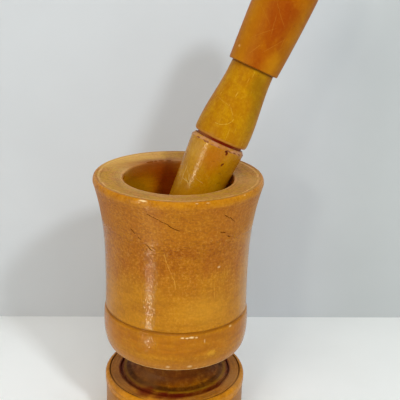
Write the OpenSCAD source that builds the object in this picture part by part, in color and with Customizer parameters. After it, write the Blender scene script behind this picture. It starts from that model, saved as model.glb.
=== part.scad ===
// Turned wooden mortar with its pestle leaning in the bowl.
// Millimetres, +Z up, origin at the centre of the foot's underside. The pestle leans towards +X.

/* [Foot] */
// Radius of the straight side wall
foot_r = 43.3; // [41:0.1:46]
// Height of the flat top above the table
foot_h = 28.5; // [24:0.5:34]
// Rounding of the bottom edge
foot_edge = 1.5; // [0.5:0.1:3]
// How far the bead at the top stands out from the side wall
bead_out = 0.5; // [0.2:0.1:1]
// Height of the bead
bead_h = 5.6; // [4:0.1:8]
// Radius of the bead's rounded shoulder
bead_round = 2.4; // [1.5:0.1:3]
// Width of the two scored lines
score_w = 1; // [0.6:0.1:1.6]
// Depth of the two scored lines
score_depth = 0.7; // [0.4:0.1:1.2]

/* [Neck] */
// Outer radius of the dark ring cut round the cove
ring_r = 34.5; // [32:0.1:37]
// Width of the dark ring
ring_w = 1.4; // [0.8:0.1:2]
// Depth of the dark ring below the foot's top
ring_depth = 1.5; // [0.8:0.1:3]
// Height of the cove's lip above the foot's top
lip_rise = 0.7; // [0.3:0.1:2]
// Height of the cove above its lip
cove_h = 6.6; // [4:0.1:9]
// Radius of the neck
neck_r = 24.8; // [22:0.1:27]
// How far the cove's upper end is set in under the neck
neck_step = 0.8; // [0.3:0.1:1.5]
// Height of the cup's underside above the foot's top
neck_h = 22; // [18:0.5:26]
// Radius of the tenon that goes up into the cup
tenon_r = 14; // [10:0.5:18]
// Length of the tenon
tenon_len = 22; // [14:0.5:26]

/* [Cup] */
// Height from the underside to the top of the rim
cup_h = 106.5; // [102:0.5:114]
// Radius of the rim
rim_r = 50; // [48:0.1:54]
// Width of the rim's outer rounding
rim_round_w = 1.4; // [0.8:0.1:3]
// Height of the rim's outer rounding
rim_round_h = 3.1; // [1.5:0.1:5]
// How far the top of the rim falls towards the mouth
rim_dish = 1.5; // [0.5:0.1:3]
// Radius at the waist of the wall
waist_r = 43.1; // [41:0.1:45]
// Depth of the waist below the rim
waist_depth = 65; // [58:0.5:72]
// How sharply the wall flares near the rim
flare_power = 2.75; // [2:0.05:3.5]
// Depth of the cut line below the rim
cut_depth_z = 82.5; // [78:0.5:86]
// How much the wall widens from the waist to the cut line
wall_spread = 0.3; // [0:0.1:0.8]
// Width of the cut line
cut_w = 1.8; // [1:0.1:2.6]
// Depth of the cut line
cut_in = 0.9; // [0.5:0.1:1.5]
// Radius of the band below the cut line
band_r = 44.3; // [43.5:0.1:46]
// Height of the band's widest place above the underside
band_z = 15; // [11:0.5:18]
// Radius of the flat underside
lip_r = 40.5; // [37:0.1:43]

/* [Bowl] */
// Radius of the mouth
mouth_r = 32.5; // [31:0.1:34]
// Rounding of the mouth's edge
mouth_edge = 1; // [0.6:0.1:1.6]
// Depth of the bowl below the rim
bowl_depth = 66; // [60:0.5:72]
// Radius of the bowl's round floor
bowl_r = 27; // [25:0.1:28.5]

/* [Pestle] */
// Lean of the pestle from upright, in degrees
lean = 24.5; // [20:0.5:28]
// Radius of the head's domed tip
tip_r = 10.9; // [9:0.1:12]
// Largest radius of the head, at its top
head_r = 16.4; // [15:0.1:17.5]
// Length of the head from the tip to its flat top
head_len = 89; // [84:0.5:100]
// Width of the chamfer round the head's top
head_chamfer_w = 1.4; // [0.8:0.1:2]
// Height of the chamfer round the head's top
head_chamfer_h = 1.9; // [1:0.1:3]
// Open gap between the head and the collar
collar_gap = 1.6; // [0.8:0.1:2.5]
// Depth of that gap, measured in from the collar's lower edge
gap_in = 2.6; // [1.5:0.1:3.5]
// Radius of the collar at its lower edge
collar_r = 16.4; // [15:0.1:17]
// Radius of the collar under the grip
collar_top_r = 13.2; // [12.5:0.1:14]
// How far the collar's side is drawn in at mid length
collar_waist = 0.4; // [0:0.1:0.8]
// Length of the collar, without the gap
collar_len = 45; // [38:0.5:54]
// Radius of the grip at its lower end
grip_r = 15.2; // [14.5:0.1:16.5]
// Largest radius of the grip, near its top
grip_top_r = 17.6; // [16.8:0.1:19]
// Length of the grip
grip_len = 72; // [60:0.5:90]
// Height of the grip's domed end
dome_h = 14; // [8:0.5:18]
// Rounding of the edges at the collar's and the grip's ends
piece_edge = 0.8; // [0.4:0.1:1.2]
// Radius of the dowel that joins head, collar and grip
dowel_r = 8; // [6:0.1:9.5]
// Depth of the dowel's holes in the head and in the grip
dowel_hole = 32; // [24:0.5:38]

/* [Fits] */
// Clearance between the pestle and the mortar where they meet
rest_gap = 0.3; // [0.3:0.05:0.6]
// Glue gap round the tenon and round the dowel
glue_gap = 0.1; // [0.05:0.05:0.2]
// Space left beyond the end of the tenon and of the dowel
end_gap = 0.5; // [0.3:0.1:1.5]
// Chamfer on the ends of the tenon and of the dowel
peg_chamfer = 1; // [0.5:0.1:2]

/* [Hidden] */
$fn = 96;
edge_steps = 4;
arc_steps = 10;
wall_steps = 12;

cup_z = foot_h + neck_h;
bead_r = foot_r + bead_out;
bead_z = foot_h - bead_h;
score_r = bead_r - bead_round - score_w;
cove_lip_r = ring_r - ring_w;
cove_z = foot_h + lip_rise + cove_h;
socket_r = tenon_r + glue_gap;
socket_top = tenon_len + end_gap;
waist_z = cup_h - waist_depth;
cut_z = cup_h - cut_depth_z;
wall_top = cup_h - rim_round_h;
cut_r = waist_r + wall_spread;

// Rounding of the mouth's edge and the bowl's round floor, both seen in a plane through the axis
mouth_c = [mouth_r + mouth_edge, cup_h - rim_dish - mouth_edge];
bowl_cz = cup_h - bowl_depth + bowl_r;
// The bowl's straight wall touches both, so its draft follows from them
wall_x = mouth_c[0];
wall_z = mouth_c[1] - bowl_cz;
draft = acos((mouth_edge + bowl_r) / norm([wall_x, wall_z])) - atan2(wall_z, wall_x);
// The rim's top runs straight from the outer rounding to the mouth's edge and touches it
rim_in = rim_r - rim_round_w - mouth_c[0];
rim_fall = rim_dish + mouth_edge;
rim_slope = atan2(rim_fall, rim_in) - asin(mouth_edge / norm([rim_in, rim_fall]));

// The head's side touches the domed tip and passes through the largest radius
head_top = head_len - tip_r;
head_edge_z = head_top - head_chamfer_h;
taper = acos(tip_r / norm([head_r, head_edge_z])) - atan2(head_edge_z, head_r);

// The pestle rests on the mouth's edge and on the bowl's floor, one clearance from each:
// the lean gives the angle at which the tip lies off the bowl's lowest point
side_lean = lean + taper;
tip_swing = bowl_r - tip_r - rest_gap;
edge_miss = tip_r + mouth_edge + rest_gap - wall_x * cos(side_lean) + wall_z * sin(side_lean);
tip_angle = side_lean + asin(edge_miss / tip_swing);
tip_pos = [-tip_swing * sin(tip_angle), 0, cup_z + bowl_cz - tip_swing * cos(tip_angle)];

collar_z = head_top + collar_gap;
grip_z = collar_z + collar_len;
bore_r = dowel_r + glue_gap;
dowel_z0 = head_top - dowel_hole + end_gap;
dowel_z1 = grip_z + dowel_hole - end_gap;

// Part of an ellipse, from one angle to another; one that goes on from the last point has first = 1
function arc(c, rx, rz, from, to, steps, first = 1) = [
  for (i = [first : steps])
    let (a = from + (to - from) * i / steps)
      [c[0] + rx * cos(a), c[1] + rz * sin(a)]
];

// Radius of the cup's outer wall at a height above its underside
function wall_r(z) = z > waist_z
  ? waist_r + (rim_r - waist_r) * pow((z - waist_z) / (wall_top - waist_z), flare_power)
  : waist_r + wall_spread * pow((waist_z - z) / (waist_z - cut_z), 2);

module turned(outline) {
  rotate_extrude()
    polygon(outline);
}

// Puts a pestle piece on the leaning axis; its own zero is the centre of the domed tip
module leaning() {
  translate(tip_pos)
    rotate([0, lean, 0])
      children();
}

module mortar_cup() {
  cut_top = cut_z + cut_w;
  wall = [
    for (i = [0 : wall_steps])
      let (z = cut_top + (wall_top - cut_top) * i / wall_steps)
        [wall_r(z), z]
  ];
  color("Peru")
    translate([0, 0, cup_z])
      turned(concat(
        [[0, socket_top], [socket_r, socket_top], [socket_r, 0], [lip_r, 0]],
        arc([lip_r, band_z], band_r - lip_r, band_z, -90, 0, arc_steps),
        arc([cut_r, band_z], band_r - cut_r, cut_z - band_z, 0, 90, edge_steps),
        [[cut_r - cut_in, cut_z + cut_w / 2]],
        wall,
        arc([rim_r - rim_round_w, wall_top], rim_round_w, rim_round_h, 0, 90, edge_steps),
        arc(mouth_c, mouth_edge, mouth_edge, 90 + rim_slope, 180 + draft, edge_steps, 0),
        arc([0, bowl_cz], bowl_r, bowl_r, -draft, -90, arc_steps, 0)
      ));
}

module mortar_foot() {
  tenon_top = cup_z + tenon_len;
  color("SandyBrown")
    turned(concat(
      [[0, 0]],
      arc([foot_r - foot_edge, foot_edge], foot_edge, foot_edge, -90, 0, edge_steps, 0),
      [
        [foot_r, bead_z - score_w],
        [foot_r - score_depth, bead_z - score_w / 2],
        [bead_r, bead_z]
      ],
      arc([bead_r - bead_round, foot_h - bead_round], bead_round, bead_round, 0, 90, edge_steps, 0),
      [
        [score_r + score_w / 2, foot_h - score_depth],
        [score_r, foot_h],
        [ring_r, foot_h],
        [ring_r, foot_h - ring_depth],
        [cove_lip_r, foot_h - ring_depth]
      ],
      arc([cove_lip_r, cove_z], cove_lip_r - neck_r + neck_step, cove_h, 270, 180, arc_steps, 0),
      [
        [neck_r, cove_z],
        [neck_r, cup_z],
        [tenon_r, cup_z],
        [tenon_r, tenon_top - peg_chamfer],
        [tenon_r - peg_chamfer, tenon_top],
        [0, tenon_top]
      ]
    ));
}

module pestle_head() {
  color("Goldenrod")
    leaning()
      turned(concat(
        arc([0, 0], tip_r, tip_r, -90, -taper, arc_steps, 0),
        [
          [head_r, head_edge_z],
          [head_r - head_chamfer_w, head_top],
          [bore_r, head_top],
          [bore_r, head_top - dowel_hole],
          [0, head_top - dowel_hole]
        ]
      ));
}

module pestle_collar() {
  side_z = collar_z + piece_edge;
  side = [
    for (i = [1 : arc_steps])
      let (t = i / arc_steps)
        [
          collar_r + (collar_top_r - collar_r) * t - 4 * collar_waist * t * (1 - t),
          side_z + (grip_z - side_z) * t
        ]
  ];
  color("Gold")
    leaning()
      turned(concat(
        [
          [bore_r, head_top],
          [collar_r - gap_in, head_top],
          [collar_r - gap_in, collar_z]
        ],
        arc([collar_r - piece_edge, side_z], piece_edge, piece_edge, -90, 0, edge_steps, 0),
        side,
        [[bore_r, grip_z]]
      ));
}

module pestle_grip() {
  dome_z = grip_z + grip_len - dome_h;
  side_z = grip_z + piece_edge;
  side = [
    for (i = [1 : arc_steps])
      let (t = i / arc_steps)
        [grip_r + (grip_top_r - grip_r) * sin(90 * t), side_z + (dome_z - side_z) * t]
  ];
  color("Chocolate")
    leaning()
      turned(concat(
        [[bore_r, grip_z]],
        arc([grip_r - piece_edge, side_z], piece_edge, piece_edge, -90, 0, edge_steps, 0),
        side,
        arc([0, dome_z], grip_top_r, dome_h, 0, 90, arc_steps),
        [[0, grip_z + dowel_hole], [bore_r, grip_z + dowel_hole]]
      ));
}

module pestle_dowel() {
  color("BurlyWood")
    leaning()
      turned([
        [0, dowel_z0],
        [dowel_r - peg_chamfer, dowel_z0],
        [dowel_r, dowel_z0 + peg_chamfer],
        [dowel_r, dowel_z1 - peg_chamfer],
        [dowel_r - peg_chamfer, dowel_z1],
        [0, dowel_z1]
      ]);
}

mortar_cup();
mortar_foot();
pestle_head();
pestle_collar();
pestle_grip();
pestle_dowel();
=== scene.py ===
import bpy
import math
import random
from mathutils import Euler, Matrix, Vector


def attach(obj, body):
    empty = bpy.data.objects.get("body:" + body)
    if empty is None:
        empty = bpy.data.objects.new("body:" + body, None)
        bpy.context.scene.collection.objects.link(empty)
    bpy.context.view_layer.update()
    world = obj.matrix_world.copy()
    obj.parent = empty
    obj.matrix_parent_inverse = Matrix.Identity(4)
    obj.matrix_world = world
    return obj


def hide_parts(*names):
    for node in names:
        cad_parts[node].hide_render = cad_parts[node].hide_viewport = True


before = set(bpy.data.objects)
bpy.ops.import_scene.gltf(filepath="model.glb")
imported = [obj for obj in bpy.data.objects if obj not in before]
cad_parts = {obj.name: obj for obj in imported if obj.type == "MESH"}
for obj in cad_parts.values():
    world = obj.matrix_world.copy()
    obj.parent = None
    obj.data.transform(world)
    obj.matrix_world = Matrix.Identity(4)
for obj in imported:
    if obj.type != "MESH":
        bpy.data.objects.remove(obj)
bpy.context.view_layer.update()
scene = bpy.context.scene
scene.view_settings.view_transform = "Standard"
mm = 0.001
weld = 2e-6  # metres: points closer than this become one
print("frame loaded:", ", ".join(sorted(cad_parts)))


# modelling helpers
def clearSelection():
    if bpy.context.object and bpy.context.object.mode != "OBJECT":
        bpy.ops.object.mode_set(mode="OBJECT")
    bpy.ops.object.select_all(action="DESELECT")


def pick(piece):
    clearSelection()
    piece.select_set(True)
    bpy.context.view_layer.objects.active = piece


def turned(degrees, axis):
    return Matrix.Rotation(math.radians(degrees), 4, axis)


def straight(start, end, count, first=1):
    (r0, z0), (r1, z1) = start, end
    return [(r0 + (r1 - r0) * i / count, z0 + (z1 - z0) * i / count) for i in range(first, count + 1)]


def ellipseArc(centre, radii, start, end, count, first=1):
    points = []
    for i in range(first, count + 1):
        a = math.radians(start + (end - start) * i / count)
        points.append((centre[0] + radii[0] * math.cos(a), centre[1] + radii[1] * math.sin(a)))
    return points


def groove(start, end, depth, count=10, sharp=1.3):
    # a soft V drawn between two points of an outline, cut in square to them
    along = Vector(end) - Vector(start)
    inward = Vector((-along.y, along.x)).normalized()
    points = []
    for i in range(1, count):
        t = i / count
        sink = depth * (1 - abs(2 * t - 1) ** sharp)
        points.append(tuple(Vector(start) + along * t + inward * sink))
    return points


def turnPiece(name, outline, turns):
    # one point is drawn out along the outline, then spun round the axis like work on a lathe
    clearSelection()
    bpy.ops.mesh.primitive_plane_add(size=mm, location=(0, 0, 0))
    piece = bpy.context.object
    piece.name = name
    piece.data.name = name
    bpy.ops.object.mode_set(mode="EDIT")
    bpy.ops.mesh.select_all(action="SELECT")
    bpy.ops.mesh.merge(type="CENTER")
    bpy.ops.transform.translate(value=(outline[0][0] * mm, 0, outline[0][1] * mm))
    for (r0, z0), (r1, z1) in zip(outline, outline[1:]):
        step = ((r1 - r0) * mm, 0, (z1 - z0) * mm)
        bpy.ops.mesh.extrude_vertices_move(TRANSFORM_OT_translate={"value": step})
    bpy.ops.mesh.select_all(action="SELECT")
    bpy.ops.mesh.spin(steps=turns, angle=2 * math.pi, center=(0, 0, 0), axis=(0, 0, 1))
    bpy.ops.mesh.select_all(action="SELECT")
    bpy.ops.mesh.remove_doubles(threshold=weld)
    bpy.ops.mesh.normals_make_consistent(inside=False)
    bpy.ops.object.mode_set(mode="OBJECT")
    return piece


def unevenSkin(piece, depth, size):
    # hand work: the surface sinks a little here and there, never out past its own line
    clouds = bpy.data.textures.new(piece.name + "Skin", "CLOUDS")
    clouds.noise_scale = size * mm
    clouds.noise_depth = 2
    pick(piece)
    sink = piece.modifiers.new("skin", "DISPLACE")
    sink.texture = clouds
    sink.texture_coords = "LOCAL"
    sink.mid_level = 1.0
    sink.strength = depth * mm
    bpy.ops.object.modifier_apply(modifier=sink.name)


def cutAway(piece, cuts, finish):
    # small lumps are joined and taken out of the piece; the cut faces keep the lumps' material
    clearSelection()
    lumps = []
    for place, size, spin in cuts:
        bpy.ops.mesh.primitive_ico_sphere_add(
            subdivisions=2, radius=1, location=Vector(place) * mm, rotation=spin, scale=Vector(size) * mm)
        bpy.context.object.data.materials.append(finish)
        lumps.append(bpy.context.object)
    clearSelection()
    for lump in lumps:
        lump.select_set(True)
    bpy.context.view_layer.objects.active = lumps[0]
    bpy.ops.object.join()
    cutter = bpy.context.object
    bpy.ops.object.transform_apply(location=True, rotation=True, scale=True)
    bpy.ops.object.mode_set(mode="EDIT")
    bpy.ops.mesh.select_all(action="SELECT")
    # lumps that overlap become one
    bpy.ops.mesh.intersect_boolean(operation="UNION", use_self=True, solver="EXACT")
    bpy.ops.object.mode_set(mode="OBJECT")
    pick(piece)
    carve = piece.modifiers.new("carve", "BOOLEAN")
    carve.operation = "DIFFERENCE"
    carve.solver = "EXACT"
    carve.material_mode = "TRANSFER"
    carve.object = cutter
    bpy.ops.object.modifier_apply(modifier=carve.name)
    pick(cutter)
    bpy.ops.object.delete()


def smoothPiece(piece, angle=38):
    pick(piece)
    bpy.ops.object.shade_smooth_by_angle(angle=math.radians(angle))


def leanPiece(piece):
    # a pestle piece is turned upright with its zero at the centre of the tip, then laid on the leaning axis
    pick(piece)
    piece.rotation_euler = (0, math.radians(pestle["lean"]), 0)
    piece.location = Vector(pestle["tip"]) * mm
    bpy.ops.object.transform_apply(location=True, rotation=True, scale=True)


def onWall(radius, azimuth, height):
    a = math.radians(azimuth)
    return Vector((radius * math.cos(a), radius * math.sin(a), height))


def facing(azimuth, slope=0.0):
    # x along the wall, turned by slope in the wall's plane, z straight out of it
    return (turned(azimuth + 90, "Z") @ turned(90, "X") @ turned(slope, "Z")).to_euler()


# camera: where the photo was taken from, measured from the mortar's axis
view = dict(
    lens=72.0, sensor=36.0, nearest=10.0,
    turn=-20.0,  # the pestle leans away to the right
    pitch=19.47, roll=1.67, distance=472.2,
    aim=(12.95, 0.0, 141.28),
)


def makeCamera():
    clearSelection()
    bpy.ops.object.camera_add()
    camera = bpy.context.object
    camera.name = "photoCamera"
    camera.data.lens = view["lens"]
    camera.data.sensor_width = view["sensor"]
    camera.data.clip_start = view["nearest"] * mm
    aim = Matrix.Translation(Vector(view["aim"]) * mm)
    back = Matrix.Translation((0, 0, view["distance"] * mm))
    tilt, roll = turned(90 - view["pitch"], "X"), turned(view["roll"], "Z")
    camera.matrix_world = turned(view["turn"], "Z") @ aim @ tilt @ back @ roll
    scene.camera = camera


makeCamera()
print("camera placed")


# material helpers
def paint(red, green, blue):
    # a colour as a paint program shows it, turned into what the shader mixes
    def linear(value):
        value = value / 255
        return value / 12.92 if value <= 0.04045 else ((value + 0.055) / 1.055) ** 2.4
    return (linear(red), linear(green), linear(blue), 1.0)


def put(kind, plugs, tree=None, **options):
    # a node goes into the tree of what is plugged into it, unless a tree is named
    links = {key: value for key, value in plugs.items() if isinstance(value, bpy.types.NodeSocket)}
    if tree is None:
        tree = next(iter(links.values())).id_data
    made = tree.nodes.new(kind)
    for key, value in options.items():
        setattr(made, key, value)
    for key, value in plugs.items():
        if key in links:
            tree.links.new(value, made.inputs[key])
        else:
            made.inputs[key].default_value = value
    return made.outputs


def useGroup(group, plugs):
    return put("ShaderNodeGroup", plugs, node_tree=group)


def calc(operation, *terms, clamp=False):
    return put("ShaderNodeMath", dict(enumerate(terms)), operation=operation, use_clamp=clamp)[0]


def times(*terms):
    return calc("MULTIPLY", *terms)


def plus(*terms):
    return calc("ADD", *terms)


def minus(*terms):
    return calc("SUBTRACT", *terms)


def addShare(value, share, base):
    return calc("MULTIPLY_ADD", value, share, base)


def vecCalc(operation, *terms, out="Vector"):
    return put("ShaderNodeVectorMath", dict(enumerate(terms)), operation=operation)[out]


def lengthOf(vector):
    return vecCalc("LENGTH", vector, out="Value")


def split(vector):
    return put("ShaderNodeSeparateXYZ", {0: vector})


def joined(x, y, z):
    return put("ShaderNodeCombineXYZ", {0: x, 1: y, 2: z})[0]


def fade(value, low, high, start=0.0, end=1.0):
    plugs = {"Value": value, "From Min": low, "From Max": high, "To Min": start, "To Max": end}
    return put("ShaderNodeMapRange", plugs, interpolation_type="SMOOTHSTEP")[0]


def fadeOut(value, low, high):
    return fade(value, low, high, 1.0, 0.0)


def blendColour(amount, first, second, kind="MIX"):
    return put("ShaderNodeMix", {0: amount, 6: first, 7: second}, data_type="RGBA", blend_type=kind)[2]


def noiseOf(vector, scale=1.0, detail=2.0, rough=0.5, bend=0.0):
    plugs = {"Vector": vector, "Scale": scale, "Detail": detail, "Roughness": rough, "Distortion": bend}
    return put("ShaderNodeTexNoise", plugs)[0]


def swingOf(vector, scale, amount, detail=2.0, rough=0.5):
    # noise that goes as far down as up
    return times(minus(noiseOf(vector, scale, detail, rough), 0.5), amount)


def stretched(vector, scale, turn=(0, 0, 0)):
    return put("ShaderNodeMapping", {"Vector": vector, "Scale": scale, "Rotation": turn})[0]


def newGroup(name, vectors, values):
    tree = bpy.data.node_groups.new(name, "ShaderNodeTree")
    for kind, labels in (("NodeSocketVector", vectors), ("NodeSocketFloat", values)):
        for label in labels:
            tree.interface.new_socket(label, in_out="INPUT", socket_type=kind)
    return tree.nodes.new("NodeGroupInput").outputs


def closeGroup(results):
    tree = next(iter(results.values())).id_data
    for label in results:
        tree.interface.new_socket(label, in_out="OUTPUT", socket_type="NodeSocketFloat")
    ends = tree.nodes.new("NodeGroupOutput").inputs
    for label, value in results.items():
        tree.links.new(value, ends[label])
    return tree


# how the shared patterns are drawn: noise scales per metre, stretches, and where each mask begins and ends
grain = dict(
    waver=38.0, waverRun=(1, 1, 0.3), waverWide=0.016, climb=0.06, ringSharp=1.7,
    fibreRun=(1, 1, 0.035),
    patch=(0.34, 0.66), cloudScale=4.2, stipple=720.0, peel=850.0,
    fleckRun=(0.32, 0.32, 1), fleckFrom=0.86, fleckSoft=0.07,
    around=2.4,
    rubRun=(1600, 1600, 55), rubOften=90.0, rubFrom=0.92, rubSoft=0.05,
    zoneBorder=240.0, spotBorder=1.6,
    shake=260.0, shakeWide=0.0016, ends=(0.3, 0.5, 1.0, 0.25), core=0.4,
)


def figureGroup():
    # growth rings round a pith beside the axis, and fibres along the piece
    take = newGroup("woodFigure", ["Vector", "Pith"], ["Ring", "Fibre"])
    slow = stretched(take["Vector"], grain["waverRun"])
    swing = swingOf(slow, grain["waver"], grain["waverWide"])
    parts = split(vecCalc("SUBTRACT", take["Vector"], take["Pith"]))
    flat = joined(parts[0], parts[1], times(parts[2], grain["climb"]))
    reach = plus(lengthOf(flat), swing)
    wave = calc("SINE", calc("DIVIDE", times(reach, 2 * math.pi), take["Ring"]))
    rings = calc("POWER", addShare(wave, 0.5, 0.5), grain["ringSharp"])
    fine = vecCalc("DIVIDE", stretched(take["Vector"], grain["fibreRun"]), take["Fibre"])
    return closeGroup({"Rings": rings, "Fibres": noiseOf(fine, detail=3, rough=0.6)})


def patchGroup():
    # varnish that went on unevenly and wore unevenly
    take = newGroup("varnishPatches", ["Vector"], ["Size", "Run"])
    run = joined(1.0, 1.0, take["Run"])
    place = vecCalc("DIVIDE", vecCalc("MULTIPLY", take["Vector"], run), take["Size"])
    return closeGroup({
        "Patch": fade(noiseOf(place, detail=3, rough=0.55, bend=0.6), *grain["patch"]),
        "Cloud": noiseOf(place, grain["cloudScale"], detail=4, rough=0.62),
        "Stipple": noiseOf(take["Vector"], grain["stipple"], detail=3, rough=0.62),
        "Peel": noiseOf(take["Vector"], grain["peel"], detail=0),
    })


def markMask(pattern, often, amount, start, soft):
    # more of the pattern shows where it comes often
    edge = minus(start, times(times(often, amount), 0.5))
    return closeGroup({"Mask": fade(pattern, edge, plus(edge, soft))})


def fleckGroup():
    # open pores filled with dark polish, in drifts
    take = newGroup("poreFlecks", ["Vector", "Slant"], ["Size", "Drift", "Amount"])
    lying = stretched(take["Vector"], grain["fleckRun"], take["Slant"])
    small = noiseOf(vecCalc("DIVIDE", lying, take["Size"]), bend=0.4)
    drift = noiseOf(vecCalc("DIVIDE", lying, take["Drift"]))
    return markMask(small, drift, take["Amount"], grain["fleckFrom"], grain["fleckSoft"])


def scuffGroup():
    # thin straight rubs
    take = newGroup("scuffs", ["Vector", "Turn"], ["Amount"])
    thin = noiseOf(stretched(take["Vector"], grain["rubRun"], take["Turn"]), detail=1, rough=0.4)
    often = noiseOf(take["Vector"], grain["rubOften"])
    return markMask(thin, often, take["Amount"], grain["rubFrom"], grain["rubSoft"])


def latheGroup():
    # fine rings that the tool left on walls and flat faces, a little different all the way round
    take = newGroup("latheLines", ["Vector"], ["Pitch", "Depth"])
    parts = split(take["Vector"])
    flat = joined(parts[0], parts[1], 0.0)
    reach = plus(lengthOf(flat), parts[2])
    around = split(vecCalc("NORMALIZE", flat))
    rings = joined(calc("DIVIDE", reach, take["Pitch"]),
                   times(around[0], grain["around"]), times(around[1], grain["around"]))
    lines = noiseOf(rings, rough=0.55)
    return closeGroup({"Lines": lines, "Height": times(minus(lines, 0.5), take["Depth"])})


def zoneGroup():
    # a ring-shaped part of a turned piece, between two heights and two radii, with a ragged border
    take = newGroup("turnedZone", ["Vector"], ["Low", "High", "Inner", "Outer", "Soft", "Ragged"])
    parts = split(take["Vector"])
    square = plus(times(parts[0], parts[0]), times(parts[1], parts[1]))
    radius = calc("POWER", square, 0.5)
    ragged = swingOf(take["Vector"], grain["zoneBorder"], take["Ragged"], detail=3)
    soft = take["Soft"]
    bands = []
    for value, low, high in ((parts[2], take["Low"], take["High"]), (radius, take["Inner"], take["Outer"])):
        moved = plus(value, ragged)
        rise = fade(moved, minus(low, soft), plus(low, soft))
        fall = fadeOut(moved, minus(high, soft), plus(high, soft))
        bands.append(times(rise, fall))
    return closeGroup({"Mask": times(*bands)})


def lineGroup():
    # a scratch between two places on a turned wall, each given as an angle round the axis and a height
    take = newGroup("wallScratch", ["Vector", "From", "To"], ["Radius", "Width"])
    parts = split(take["Vector"])
    angle = calc("ARCTAN2", parts[1], parts[0])
    shake = swingOf(take["Vector"], grain["shake"], grain["shakeWide"])
    here = joined(addShare(angle, take["Radius"], shake), plus(parts[2], shake), 0.0)
    spread = joined(take["Radius"], 1.0, 0.0)
    start = vecCalc("MULTIPLY", take["From"], spread)
    run = vecCalc("SUBTRACT", vecCalc("MULTIPLY", take["To"], spread), start)
    away = vecCalc("SUBTRACT", here, start)
    along = vecCalc("DOT_PRODUCT", away, run, out="Value")
    share = calc("DIVIDE", along, vecCalc("DOT_PRODUCT", run, run, out="Value"), clamp=True)
    scaled = put("ShaderNodeVectorMath", {0: run, "Scale": share}, operation="SCALE")[0]
    miss = lengthOf(vecCalc("SUBTRACT", away, scaled))
    ends = fade(calc("ABSOLUTE", minus(share, 0.5)), *grain["ends"])
    half = times(times(take["Width"], 0.5), ends)
    return closeGroup({"Mask": fadeOut(miss, times(half, grain["core"]), half)})


def spotGroup():
    # a ragged patch round one point
    take = newGroup("wallSpot", ["Vector", "Centre", "Size"], ["Soft", "Ragged"])
    away = vecCalc("DIVIDE", vecCalc("SUBTRACT", take["Vector"], take["Centre"]), take["Size"])
    swing = swingOf(away, grain["spotBorder"], take["Ragged"], detail=3, rough=0.6)
    reach = plus(lengthOf(away), swing)
    return closeGroup({"Mask": fadeOut(reach, minus(1.0, take["Soft"]), plus(1.0, take["Soft"]))})


woodFigure = figureGroup()
varnishPatches = patchGroup()
poreFlecks = fleckGroup()
latheLines = latheGroup()
scuffs = scuffGroup()
turnedZone = zoneGroup()
wallScratch = lineGroup()
wallSpot = spotGroup()
print("node groups ready")


# marks on a piece: at and path hold angles round the axis and heights,
# a zone's z and r two heights and two radii
def zone(z, r, soft, ragged, show, tone, **more):
    # more may hold rough, worn, second, strokes, specks and lines
    return dict(more, z=z, r=r, soft=soft, ragged=ragged, show=show, tone=tone)


def spot(r, at, size, show, tone, soft=0.7, ragged=1.0):
    return dict(r=r, at=at, size=size, show=show, tone=tone, soft=soft, ragged=ragged)


def scratch(path, r, width, show, tone=None):
    return dict(path=path, r=r, width=width, show=show, tone=tone)


# where the marks in the varnish begin and end, and what they do to it (depths in mm)
marks = dict(
    cloud=(0.35, 0.7), speck=(0.46, 0.68), glint=(0.5, 0.3), dark=(0.5, 0.72), worn=(0.36, 0.6),
    second=(0.42, 0.58), secondShow=0.6, strokes=(0.47, 0.64), strokeShow=0.28, lines=(0.46, 0.7),
    poreSoft=7.0, poreRagged=12.0, poreDeep=0.06, rubRough=0.12, spotRough=0.05,
    scratchRough=0.1, scratchDeep=0.05, leastRough=0.08,
    glintDeep=2.0, glintSoft=0.6, glintRagged=1.4,
)


def newMaterial(name, shine):
    material = bpy.data.materials.new(name)
    material.use_nodes = True
    shader = material.node_tree.nodes["Principled BSDF"].inputs
    shader["IOR"].default_value = 1.5
    shader["Specular IOR Level"].default_value = shine
    return material, shader, put("ShaderNodeTexCoord", {}, material.node_tree)["Object"]


def finishSurface(shader, colour, rough, height=None):
    links = colour.id_data.links
    links.new(colour, shader["Base Color"])
    links.new(rough, shader["Roughness"])
    if height is not None:
        bump = put("ShaderNodeBump", {"Strength": 1.0, "Distance": 1.0, "Height": height})
        links.new(bump[0], shader["Normal"])


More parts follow.
